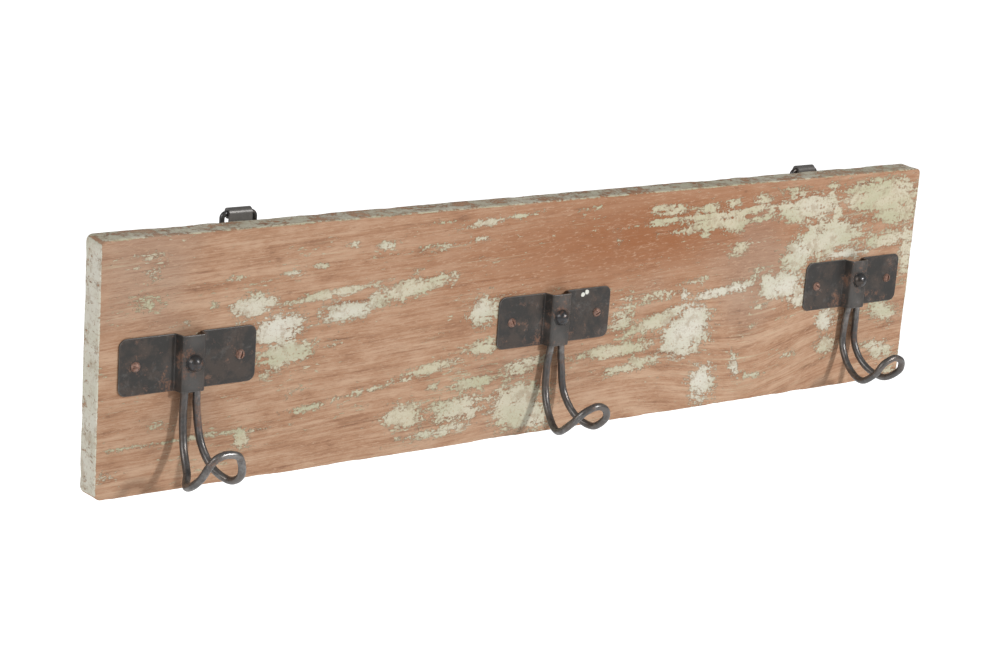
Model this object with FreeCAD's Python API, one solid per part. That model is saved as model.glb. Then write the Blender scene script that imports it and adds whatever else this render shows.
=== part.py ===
import FreeCAD, Part
import math
import os

# Wall hook rack: a plank with three plate-mounted wire hooks and two strap hangers behind.
# Frame: origin in the middle of the board's back face, +X right along the board, +Z up.
# The wall is on the +Y side; the hooks point toward -Y.  All lengths in millimetres.

# ---- board
BOARD_LENGTH = 650.0
BOARD_HEIGHT = 155.0
BOARD_THICK = 18.0
BOARD_CORNER_R = 4.0
BOARD_ARRIS_R = 0.9

# ---- hook plates: flat flanges with a pressed channel up the middle
PLATE_WIDTH = 90.0
PLATE_HEIGHT = 34.5
PLATE_SHEET = 1.2
PLATE_CORNER_R = 5.0
CHANNEL_FLARE = 1.8       # how far each channel wall leans out from front to foot
CHANNEL_SIDE_ROOM = 0.5   # between a wire leg and the channel wall beside it
CHANNEL_BEND_R = 1.5
CHANNEL_FOOT_R = 0.8
PLATE_SCREW_X = 34.4

# ---- wire hooks
WIRE_D = 4.8
EYE_GAP = 0.2             # radial, between the rivet shank and the wire's eye
WIRE_SEAT_GAP = 0.02      # between the wire and the channel, and the wire and the washer
LEG_BOTTOM_Z = -17.0      # where the straight legs end and the bend begins
EYE_BUTT_ANGLE = 8.0      # half angle left open where the two wire ends meet

# ---- rivets
RIVET_HEAD_D = 10.6
RIVET_HEAD_H = 5.0
RIVET_SHANK_D = 2.8
RIVET_TAIL_D = 4.4
RIVET_TAIL_H = 0.8
RIVET_TAIL_GAP = 0.46     # between the peened tail and the board
RIVET_Z = 2.0
WASHER_D = 11.0
WASHER_T = 1.0
HOLE_CLEARANCE = 0.1      # radial, around rivet and screw shanks

# ---- screws
SCREW_HEAD_D = 6.2
SCREW_HEAD_H = 2.3
SCREW_SHANK_D = 3.0
SCREW_POINT = 3.0
SLOT_W = 1.0
SLOT_DEPTH = 1.1
PLATE_SCREW_LENGTH = 14.0
HANGER_SCREW_LENGTH = 12.0
PILOT_CLEARANCE = 0.05    # radial, between a screw shank and its hole in the board

# ---- hangers
STRAP_WIDTH = 15.4
STRAP_SHEET = 1.6
STRAP_LENGTH = 44.0       # from the eye centre to the lower end
STRAP_END_R = 4.0
RING_WIRE_D = 3.2
RING_EYE_CLEARANCE = 0.08
RING_HALF_WIDTH = 11.0    # to the centre of the wire
RING_BEND_R = 3.0
RING_LEG = 8.0            # straight length of each side below the bend
HANGER_SCREW_DROPS = {"upper": 30.0, "lower": 38.5}
EYE_END_ANGLE = -105.0

# Hook positions: plate centre x and z, then the guide points of the bent wire as
# (half spread, distance out from the board front, height), ending at the tip.
HOOKS = {
    "left": {
        "x": -266.8, "z": 1.5, "slots": (20.0, 105.0),
        "bend": [(4.6, 5.2, -30.0), (5.9, 9.6, -48.0), (8.8, 19.6, -60.2),
                 (14.3, 30.0, -64.8), (13.8, 43.0, -56.9), (8.0, 49.4, -43.5)],
        "tip": (49.8, -40.9),
    },
    "middle": {
        "x": 1.0, "z": 0.0, "slots": (70.0, 155.0),
        "bend": [(5.8, 4.5, -30.9), (7.4, 7.4, -49.2), (10.1, 17.5, -62.2),
                 (13.9, 31.5, -66.3), (13.5, 44.5, -57.0), (8.6, 49.7, -49.1)],
        "tip": (51.7, -45.4),
    },
    "right": {
        "x": 267.0, "z": -1.2, "slots": (40.0, 92.0),
        "bend": [(5.0, 4.0, -27.5), (5.8, 4.9, -45.7), (7.5, 15.0, -59.1),
                 (10.5, 31.6, -64.2), (11.6, 45.3, -55.6), (8.6, 49.3, -47.5)],
        "tip": (50.6, -43.7),
    },
}

# Hanger positions: x of the eye centre and its height above the board's top edge.
HANGERS = {
    "left": {"x": -224.5, "above_top": 4.0},
    "right": {"x": 230.0, "above_top": 0.4},
}

# ---- sizes that follow from the ones above
FRONT_Y = -BOARD_THICK
LEG_SPREAD = RIVET_SHANK_D / 2.0 + EYE_GAP + WIRE_D / 2.0
WASHER_OUT = RIVET_TAIL_GAP + RIVET_TAIL_H + WASHER_T
WIRE_OUT = WASHER_OUT + WIRE_SEAT_GAP + WIRE_D / 2.0
CHANNEL_INNER = WIRE_OUT + WIRE_D / 2.0 + WIRE_SEAT_GAP
CHANNEL_HEIGHT = CHANNEL_INNER + PLATE_SHEET
CHANNEL_SLOPE = CHANNEL_FLARE / CHANNEL_INNER
EYE_INNER_R = RING_WIRE_D / 2.0 + RING_EYE_CLEARANCE
EYE_OUTER_R = EYE_INNER_R + STRAP_SHEET

V = FreeCAD.Vector
X_AXIS = V(1, 0, 0)
Y_AXIS = V(0, 1, 0)
Z_AXIS = V(0, 0, 1)


def front(x, out, z):
    """Point at a distance out from the board's front face."""
    return V(x, FRONT_Y - out, z)


def cylinder(radius, length, base, direction):
    """Solid cylinder from a base centre along a direction."""
    return Part.makeCylinder(radius, length, base, direction)


def edges_along(shape, direction, test):
    """Straight edges parallel to a direction whose midpoint passes a test."""
    found = []
    for edge in shape.Edges:
        if len(edge.Vertexes) != 2:
            continue
        run = edge.Vertexes[1].Point - edge.Vertexes[0].Point
        if run.Length > 1e-6 and abs(abs(run.normalize().dot(direction)) - 1.0) < 1e-6:
            if test(edge.CenterOfMass):
                found.append(edge)
    return found


def rim_edges(shape, y):
    """Edges lying wholly in the plane at a given y."""
    return [e for e in shape.Edges
            if abs(e.BoundBox.YMin - y) < 1e-6 and abs(e.BoundBox.YMax - y) < 1e-6]


def hanger_eye_z(hanger):
    """Height of a hanger's eye centre."""
    return BOARD_HEIGHT / 2.0 + hanger["above_top"]


def make_board():
    """Plank with rounded corners, eased edges and blind screw holes."""
    board = Part.makeBox(BOARD_LENGTH, BOARD_THICK, BOARD_HEIGHT,
                         V(-BOARD_LENGTH / 2.0, FRONT_Y, -BOARD_HEIGHT / 2.0))
    corners = edges_along(board, Y_AXIS, lambda p: True)
    board = board.makeFillet(BOARD_CORNER_R, corners)
    board = board.makeFillet(BOARD_ARRIS_R, rim_edges(board, FRONT_Y) + rim_edges(board, 0.0))
    hole_r = SCREW_SHANK_D / 2.0 + PILOT_CLEARANCE
    holes = []
    for hook in HOOKS.values():
        for side in (-1, 1):
            start = front(hook["x"] + side * PLATE_SCREW_X, 0.0, hook["z"])
            holes.append(cylinder(hole_r, PLATE_SCREW_LENGTH, start, Y_AXIS))
    for hanger in HANGERS.values():
        for drop in HANGER_SCREW_DROPS.values():
            start = V(hanger["x"], 0.0, hanger_eye_z(hanger) - drop)
            holes.append(cylinder(hole_r, HANGER_SCREW_LENGTH, start, -Y_AXIS))
    return board.cut(holes)


def channel_profile(x, z):
    """Cross-section of the plate and its channel, in the plane at height z."""
    half = PLATE_WIDTH / 2.0
    beside_wire = LEG_SPREAD + WIRE_D / 2.0 + CHANNEL_SIDE_ROOM
    inner_front = beside_wire - CHANNEL_SLOPE * (CHANNEL_INNER - WIRE_OUT)
    inner_base = inner_front + CHANNEL_FLARE
    wall = PLATE_SHEET * (math.hypot(1.0, CHANNEL_SLOPE) - CHANNEL_SLOPE)
    outer_front, outer_base = inner_front + wall, inner_base + wall
    right = [(half, 0.0), (half, PLATE_SHEET), (outer_base, PLATE_SHEET),
             (outer_front, CHANNEL_HEIGHT)]
    inner = [(inner_base, 0.0), (inner_front, CHANNEL_INNER)]
    outline = [(-px, po) for px, po in right]
    outline += [(px, po) for px, po in reversed(right)]
    outline += inner + [(-px, po) for px, po in reversed(inner)]
    points = [front(x + px, po, z) for px, po in outline]
    return Part.Face(Part.makePolygon(points + points[:1]))


def make_plate(hook):
    """Flat plate with a pressed channel, its corners rounded and its holes drilled."""
    x, z = hook["x"], hook["z"]
    plate = channel_profile(x, z - PLATE_HEIGHT / 2.0).extrude(V(0, 0, PLATE_HEIGHT))
    ends = edges_along(plate, Y_AXIS, lambda p: abs(abs(p.x - x) - PLATE_WIDTH / 2.0) < 1e-6)
    plate = plate.makeFillet(PLATE_CORNER_R, ends)
    outer = edges_along(plate, Z_AXIS, lambda p: abs(p.y - FRONT_Y + CHANNEL_HEIGHT) < 1e-6)
    plate = plate.makeFillet(CHANNEL_BEND_R, outer)
    foot = edges_along(plate, Z_AXIS, lambda p: abs(p.y - FRONT_Y + PLATE_SHEET) < 1e-6
                       and abs(p.x - x) < PLATE_WIDTH / 4.0)
    plate = plate.makeFillet(CHANNEL_FOOT_R, foot)
    screw_r = SCREW_SHANK_D / 2.0 + HOLE_CLEARANCE
    rivet_r = RIVET_SHANK_D / 2.0 + HOLE_CLEARANCE
    holes = [cylinder(rivet_r, CHANNEL_HEIGHT, front(x, CHANNEL_HEIGHT + 1.0, RIVET_Z), Y_AXIS)]
    for side in (-1, 1):
        start = front(x + side * PLATE_SCREW_X, PLATE_SHEET + 1.0, z)
        holes.append(cylinder(screw_r, PLATE_SHEET + 2.0, start, Y_AXIS))
    return plate.cut(holes)


def make_wire_hook(hook):
    """Round wire: eye over the rivet, two legs, then the spread bend to the tip."""
    x = hook["x"]
    arc_angle = math.radians(EYE_BUTT_ANGLE)

    def eye(side):
        end = front(x + side * LEG_SPREAD * math.sin(arc_angle), WIRE_OUT,
                    RIVET_Z + LEG_SPREAD * math.cos(arc_angle))
        half = (math.pi / 2.0 + arc_angle) / 2.0
        mid = front(x + side * LEG_SPREAD * math.sin(half), WIRE_OUT,
                    RIVET_Z + LEG_SPREAD * math.cos(half))
        foot = front(x + side * LEG_SPREAD, WIRE_OUT, RIVET_Z)
        return end, mid, foot

    left, right = eye(-1), eye(1)
    low_left = front(x - LEG_SPREAD, WIRE_OUT, LEG_BOTTOM_Z)
    low_right = front(x + LEG_SPREAD, WIRE_OUT, LEG_BOTTOM_Z)
    bend = [front(x - s, out, z) for s, out, z in hook["bend"]]
    bend.append(front(x, *hook["tip"]))
    bend += [front(x + s, out, z) for s, out, z in reversed(hook["bend"])]
    curve = Part.BSplineCurve()
    curve.interpolate([low_left] + bend + [low_right],
                      InitialTangent=V(0, 0, -1), FinalTangent=V(0, 0, 1))
    pieces = []
    for side, (end, mid, foot), low in ((-1, left, low_left), (1, right, low_right)):
        path = Part.Wire([Part.Arc(end, mid, foot).toShape(), Part.makeLine(foot, low)])
        heading = V(side * math.cos(arc_angle), 0, -math.sin(arc_angle))
        section = Part.Wire([Part.makeCircle(WIRE_D / 2.0, end, heading)])
        pieces.append(path.makePipeShell([section], True, False))
    section = Part.Wire([Part.makeCircle(WIRE_D / 2.0, low_left, V(0, 0, -1))])
    bend_solid = Part.Wire([curve.toShape()]).makePipeShell([section], True, True)
    return bend_solid.fuse(pieces).removeSplitter()


def turned(points, base, direction):
    """Solid of revolution from (radius, along) points about a line through base."""
    side = V(1, 0, 0)
    outline = [base + side * r + direction * a for r, a in points]
    face = Part.Face(Part.makePolygon(outline + outline[:1]))
    return face.revolve(base, direction, 360)


def dome(diameter, height, base, direction):
    """Round head: a spherical cap standing on its flat underside."""
    edge_r = diameter / 2.0
    ball_r = (edge_r ** 2 + height ** 2) / (2.0 * height)
    ball = Part.makeSphere(ball_r, base + direction * (height - ball_r))
    return ball.common(cylinder(edge_r, height, base, direction))


def make_rivet(hook):
    """Domed rivet through the channel, the wire's eye and the washer, peened behind."""
    shoulder = front(hook["x"], CHANNEL_HEIGHT, RIVET_Z)
    grip = CHANNEL_HEIGHT - WASHER_OUT + WASHER_T
    tail = cylinder(RIVET_TAIL_D / 2.0, RIVET_TAIL_H, shoulder + Y_AXIS * grip, Y_AXIS)
    shank = cylinder(RIVET_SHANK_D / 2.0, grip, shoulder, Y_AXIS)
    head = dome(RIVET_HEAD_D, RIVET_HEAD_H, shoulder, -Y_AXIS)
    return head.fuse([shank, tail]).removeSplitter()


def make_washer(hook):
    """Flat burr washer behind the wire legs."""
    base = front(hook["x"], WASHER_OUT, RIVET_Z)
    disc = cylinder(WASHER_D / 2.0, WASHER_T, base, Y_AXIS)
    return disc.cut(cylinder(RIVET_SHANK_D / 2.0 + HOLE_CLEARANCE, WASHER_T, base, Y_AXIS))


def make_screw(seat, inward, length, slot_angle):
    """Slotted round-head screw with its head on seat and its point inward."""
    shank_r = SCREW_SHANK_D / 2.0
    straight = length - SCREW_POINT
    body = turned([(0, 0), (shank_r, 0), (shank_r, straight), (0.3, length), (0, length)],
                  seat, inward)
    head = dome(SCREW_HEAD_D, SCREW_HEAD_H, seat, -inward)
    slot = Part.makeBox(SCREW_HEAD_D + 1.0, SCREW_HEAD_H, SLOT_W,
                        V(-SCREW_HEAD_D / 2.0 - 0.5, 0, -SLOT_W / 2.0))
    slot.rotate(V(0, 0, 0), Y_AXIS, slot_angle)
    top = seat - inward * (SCREW_HEAD_H - SLOT_DEPTH)
    if inward.y > 0:
        top = top - Y_AXIS * SCREW_HEAD_H
    slot.translate(top)
    return head.fuse(body).cut(slot).removeSplitter()


def make_strap(hanger):
    """Flat strap with its upper end rolled into an eye for the ring."""
    x, z = hanger["x"], hanger_eye_z(hanger)
    left = x - STRAP_WIDTH / 2.0
    flat = Part.makeBox(STRAP_WIDTH, STRAP_SHEET, STRAP_LENGTH, V(left, 0, z - STRAP_LENGTH))
    ends = edges_along(flat, Y_AXIS, lambda p: p.z < z - STRAP_LENGTH + 1e-6)
    flat = flat.makeFillet(STRAP_END_R, ends)
    centre = V(left, EYE_OUTER_R, z)
    sweep = 180.0 - EYE_END_ANGLE
    start = V(left, 0, z)
    strip = Part.Face(Part.makePolygon([
        start, start + X_AXIS * STRAP_WIDTH,
        start + X_AXIS * STRAP_WIDTH + Y_AXIS * STRAP_SHEET,
        start + Y_AXIS * STRAP_SHEET, start]))
    roll = strip.revolve(centre, -X_AXIS, sweep)
    strap = flat.fuse(roll).removeSplitter()
    holes = [cylinder(SCREW_SHANK_D / 2.0 + HOLE_CLEARANCE, STRAP_SHEET, V(x, 0, z - drop), Y_AXIS)
             for drop in HANGER_SCREW_DROPS.values()]
    return strap.cut(holes)


def make_ring(hanger):
    """Closed D-shaped wire ring, its straight bar in the strap's eye."""
    x, y, z = hanger["x"], EYE_OUTER_R, hanger_eye_z(hanger)
    half, bend, low = RING_HALF_WIDTH, RING_BEND_R, RING_BEND_R + RING_LEG
    k = bend * (1.0 - math.sqrt(0.5))

    def at(dx, dz):
        return V(x + dx, y, z + dz)

    path = Part.Wire([
        Part.makeLine(at(0, 0), at(half - bend, 0)),
        Part.Arc(at(half - bend, 0), at(half - k, -k), at(half, -bend)).toShape(),
        Part.makeLine(at(half, -bend), at(half, -low)),
        Part.Arc(at(half, -low), at(0, -low - half), at(-half, -low)).toShape(),
        Part.makeLine(at(-half, -low), at(-half, -bend)),
        Part.Arc(at(-half, -bend), at(-half + k, -k), at(-half + bend, 0)).toShape(),
        Part.makeLine(at(-half + bend, 0), at(0, 0)),
    ])
    section = Part.Wire([Part.makeCircle(RING_WIRE_D / 2.0, at(0, 0), X_AXIS)])
    return path.makePipeShell([section], True, False)


def build_parts():
    """Every node of the rack, by name."""
    parts = {"board": make_board()}
    for name, hook in HOOKS.items():
        parts["hook_plate_" + name] = make_plate(hook)
        parts["wire_hook_" + name] = make_wire_hook(hook)
        parts["hook_rivet_" + name] = make_rivet(hook)
        parts["rivet_washer_" + name] = make_washer(hook)
        for side, where, angle in ((-1, "a", hook["slots"][0]), (1, "b", hook["slots"][1])):
            seat = front(hook["x"] + side * PLATE_SCREW_X, PLATE_SHEET, hook["z"])
            length = PLATE_SHEET + PLATE_SCREW_LENGTH - 0.5
            parts["plate_screw_%s_%s" % (name, where)] = make_screw(seat, Y_AXIS, length, angle)
    for name, hanger in HANGERS.items():
        parts["hanger_strap_" + name] = make_strap(hanger)
        parts["hanger_ring_" + name] = make_ring(hanger)
        for where, drop in HANGER_SCREW_DROPS.items():
            seat = V(hanger["x"], STRAP_SHEET, hanger_eye_z(hanger) - drop)
            length = STRAP_SHEET + HANGER_SCREW_LENGTH - 0.5
            parts["hanger_screw_%s_%s" % (name, where)] = make_screw(seat, -Y_AXIS, length, drop * 3)
    return parts


os.makedirs("parts", exist_ok=True)
for node, shape in build_parts().items():
    shape.exportStep("parts/%s.step" % node)
    box = shape.BoundBox
    print("%-26s %-9s valid=%s solids=%d vol=%.0f  x %.1f..%.1f y %.1f..%.1f z %.1f..%.1f" % (
        node, shape.ShapeType, shape.isValid(), len(shape.Solids), shape.Volume,
        box.XMin, box.XMax, box.YMin, box.YMax, box.ZMin, box.ZMax))
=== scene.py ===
"""Wall hook rack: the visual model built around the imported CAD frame.

A worn plank with flaking paint carries three blackened steel plates, each with a riveted
wire hook, and two ring hangers stand behind its top edge.  All lengths are in metres.
"""
import logging
import math
from collections.abc import Sequence
from dataclasses import dataclass, field
from enum import Enum
from typing import Any, Union

import bmesh
import bpy
from mathutils import Matrix, Vector, noise


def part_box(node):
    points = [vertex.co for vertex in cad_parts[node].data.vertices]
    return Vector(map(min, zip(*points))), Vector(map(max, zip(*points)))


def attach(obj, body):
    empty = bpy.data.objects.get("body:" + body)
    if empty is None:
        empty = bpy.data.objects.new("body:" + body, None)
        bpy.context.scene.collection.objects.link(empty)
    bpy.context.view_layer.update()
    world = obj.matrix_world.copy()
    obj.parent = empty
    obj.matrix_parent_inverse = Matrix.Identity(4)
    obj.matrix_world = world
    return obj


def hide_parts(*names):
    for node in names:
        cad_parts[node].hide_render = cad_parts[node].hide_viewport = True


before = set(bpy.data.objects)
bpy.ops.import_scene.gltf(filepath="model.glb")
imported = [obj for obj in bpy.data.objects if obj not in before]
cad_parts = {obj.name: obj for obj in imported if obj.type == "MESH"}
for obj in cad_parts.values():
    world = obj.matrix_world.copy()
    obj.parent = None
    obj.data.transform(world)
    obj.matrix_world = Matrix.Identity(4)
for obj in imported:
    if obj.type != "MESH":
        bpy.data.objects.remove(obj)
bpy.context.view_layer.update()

MM = 0.001
LOG = logging.getLogger("hook_rack")
Number = Union[int, float]
Colour = tuple[float, float, float]


class Side(Enum):
    """Where a piece sits along the board."""

    LEFT = "left"
    MIDDLE = "middle"
    RIGHT = "right"


# --------------------------------------------------------------------------- shader tools


class Signal:
    """A number carried by a shader socket, with arithmetic that adds Math nodes."""

    def __init__(self, recipe: "Recipe", socket: bpy.types.NodeSocket) -> None:
        """Wraps one output socket.

        Args:
            recipe: the material recipe that owns the node tree.
            socket: the output socket that carries the number.
        """
        self.recipe = recipe
        self.socket = socket

    def _math(self, operation: str, *values: "Operand", clamp: bool = False) -> "Signal":
        """Adds one Math node.

        Args:
            operation: the Math node's operation name.
            values: the node's inputs in order.
            clamp: whether the result is held between 0 and 1.

        Returns:
            The node's result.
        """
        inputs = {index: value for index, value in enumerate(values)}
        return self.recipe.add("ShaderNodeMath", {"operation": operation, "use_clamp": clamp},
                               inputs)

    def __add__(self, other: "Operand") -> "Signal":
        """Sum."""
        return self._math("ADD", self, other)

    __radd__ = __add__

    def __sub__(self, other: "Operand") -> "Signal":
        """Difference."""
        return self._math("SUBTRACT", self, other)

    def __rsub__(self, other: "Operand") -> "Signal":
        """Difference with the signal on the right."""
        return self._math("SUBTRACT", other, self)

    def __mul__(self, other: "Operand") -> "Signal":
        """Product."""
        return self._math("MULTIPLY", self, other)

    __rmul__ = __mul__

    def __truediv__(self, other: "Operand") -> "Signal":
        """Quotient."""
        return self._math("DIVIDE", self, other)

    def __pow__(self, other: "Operand") -> "Signal":
        """Power."""
        return self._math("POWER", self, other)

    def __neg__(self) -> "Signal":
        """Opposite sign."""
        return self._math("MULTIPLY", self, -1.0)

    def clamp(self) -> "Signal":
        """The signal held between 0 and 1."""
        return self._math("ADD", self, 0.0, clamp=True)

    def high(self, other: "Operand") -> "Signal":
        """The larger of two signals."""
        return self._math("MAXIMUM", self, other)

    def low(self, other: "Operand") -> "Signal":
        """The smaller of two signals."""
        return self._math("MINIMUM", self, other)

    def size(self) -> "Signal":
        """Absolute value."""
        return self._math("ABSOLUTE", self)

    def falloff(self) -> "Signal":
        """e to the minus signal: 1 at zero, fading as it grows."""
        return self._math("EXPONENT", self * -1.0)

    def step(self, start: Number, end: Number) -> "Signal":
        """Smooth rise from 0 at start to 1 at end.

        Args:
            start: value where the rise begins.
            end: value where it is complete.

        Returns:
            The eased signal.
        """
        settings = {"interpolation_type": "SMOOTHSTEP"}
        return self.recipe.add("ShaderNodeMapRange", settings,
                               {"Value": self, "From Min": start, "From Max": end})


Operand = Union[Signal, int, float]


class Recipe:
    """Builds one node material; every node but the Math nodes comes from add."""

    def __init__(self, name: str) -> None:
        """Starts an empty material with its shader and output.

        Args:
            name: the material's name.
        """
        self.material = bpy.data.materials.new(name)
        self.material.use_nodes = True
        self.tree = self.material.node_tree
        self.tree.nodes.clear()
        self.place = self.add("ShaderNodeTexCoord", {}, {}, "Object")
        split = self.add("ShaderNodeSeparateXYZ", {}, {"Vector": self.place}, None)
        self.x, self.y, self.z = (Signal(self, split.outputs[axis]) for axis in "XYZ")

    def add(self, kind: str, settings: dict[str, Any], inputs: dict[Any, Any],
            output: Union[str, int, None] = 0) -> Any:
        """Adds a node, makes its settings, then fills its sockets.

        Args:
            kind: the node's type name.
            settings: attributes set first; "stops" fills a colour ramp.
            inputs: value or signal for each input socket, by name or index.
            output: the output socket to return, or None for the node itself.

        Returns:
            The wanted output as a Signal, or the node.
        """
        node = self.tree.nodes.new(kind)
        for key, value in settings.items():
            if key == "stops":
                self._fill_ramp(node.color_ramp, value)
            else:
                setattr(node, key, value)
        for key, value in inputs.items():
            if isinstance(value, Signal):
                self.tree.links.new(value.socket, node.inputs[key])
            else:
                node.inputs[key].default_value = value
        return node if output is None else Signal(self, node.outputs[output])

    @staticmethod
    def _fill_ramp(ramp: bpy.types.ColorRamp, stops: Sequence[tuple[float, Colour]]) -> None:
        """Sets a colour ramp's stops.

        Args:
            ramp: the ramp to fill.
            stops: position and colour of each stop.
        """
        while len(ramp.elements) > 1:
            ramp.elements.remove(ramp.elements[-1])
        ramp.elements[0].position = stops[0][0]
        ramp.elements[0].color = (*stops[0][1], 1.0)
        for position, colour in stops[1:]:
            ramp.elements.new(position).color = (*colour, 1.0)

    def vector(self, x: Operand, y: Operand, z: Operand) -> Signal:
        """Joins three numbers into a vector."""
        return self.add("ShaderNodeCombineXYZ", {}, {"X": x, "Y": y, "Z": z})

    def cloud(self, where: Signal, scale: float, detail: float = 4.0, roughness: float = 0.55,
              distortion: float = 0.0) -> Signal:
        """Fractal noise from 0 to 1.

        Args:
            where: the coordinates.
            scale: features per metre of the coordinates.
            detail: octaves.
            roughness: strength of the fine octaves.
            distortion: swirl.

        Returns:
            The noise value.
        """
        inputs = {"Vector": where, "Scale": scale, "Detail": detail, "Roughness": roughness,
                  "Distortion": distortion}
        return self.add("ShaderNodeTexNoise", {"noise_dimensions": "3D"}, inputs, 0)

    def cells(self, where: Signal, scale: float, feature: str = "F1") -> Signal:
        """Distance to the nearest random point of a cell pattern."""
        return self.add("ShaderNodeTexVoronoi", {"feature": feature},
                        {"Vector": where, "Scale": scale}, 0)

    def ramp(self, value: Signal, stops: Sequence[tuple[float, Colour]]) -> Signal:
        """Colour picked from a ramp of stops."""
        return self.add("ShaderNodeValToRGB", {"stops": stops}, {"Fac": value})

    def mix(self, factor: Operand, first: Any, second: Any) -> Signal:
        """Blends two colours.

        Args:
            factor: 0 gives first, 1 gives second.
            first: colour or signal.
            second: colour or signal.

        Returns:
            The blended colour.
        """
        node = self.add("ShaderNodeMix", {"data_type": "RGBA"}, {}, None)
        for index, value in ((0, factor), (6, first), (7, second)):
            if isinstance(value, Signal):
                self.tree.links.new(value.socket, node.inputs[index])
            elif isinstance(value, tuple):
                node.inputs[index].default_value = (*value, 1.0)
            else:
                node.inputs[index].default_value = value
        return Signal(self, node.outputs[2])

    def near(self, centre: tuple[float, float, float], reach: float) -> Signal:
        """Mask that is 1 at a point and fades to 0 a few reaches away.

        Args:
            centre: the point, in metres.
            reach: distance over which the mask falls to a third.

        Returns:
            The mask.
        """
        gap = self.add("ShaderNodeVectorMath", {"operation": "DISTANCE"},
                       {0: self.place, 1: centre}, "Value")
        return ((gap / reach) ** 2.0).falloff()

    def bump(self, height: Signal, distance: float, strength: float = 1.0,
             under: Union[Signal, None] = None) -> Signal:
        """Surface relief.

        Args:
            height: relief from 0 to 1.
            distance: depth of the relief in metres.
            strength: how much of it shows.
            under: an earlier relief that this one is added to.

        Returns:
            The normal.
        """
        inputs = {"Height": height, "Distance": distance, "Strength": strength}
        if under is not None:
            inputs["Normal"] = under
        return self.add("ShaderNodeBump", {}, inputs)

    def finish(self, **sockets: Any) -> bpy.types.Material:
        """Adds the shader and output.

        Args:
            sockets: value or signal for shader sockets, with _ for a space.

        Returns:
            The finished material.
        """
        inputs = {}
        for key, value in sockets.items():
            name = key.replace("_", " ").replace("Ior", "IOR")
            inputs[name] = (*value, 1.0) if isinstance(value, tuple) and len(value) == 3 else value
        shader = self.add("ShaderNodeBsdfPrincipled", {}, inputs)
        self.add("ShaderNodeOutputMaterial", {}, {"Surface": shader}, None)
        return self.material


# ------------------------------------------------------------------------------- finishes


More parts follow.
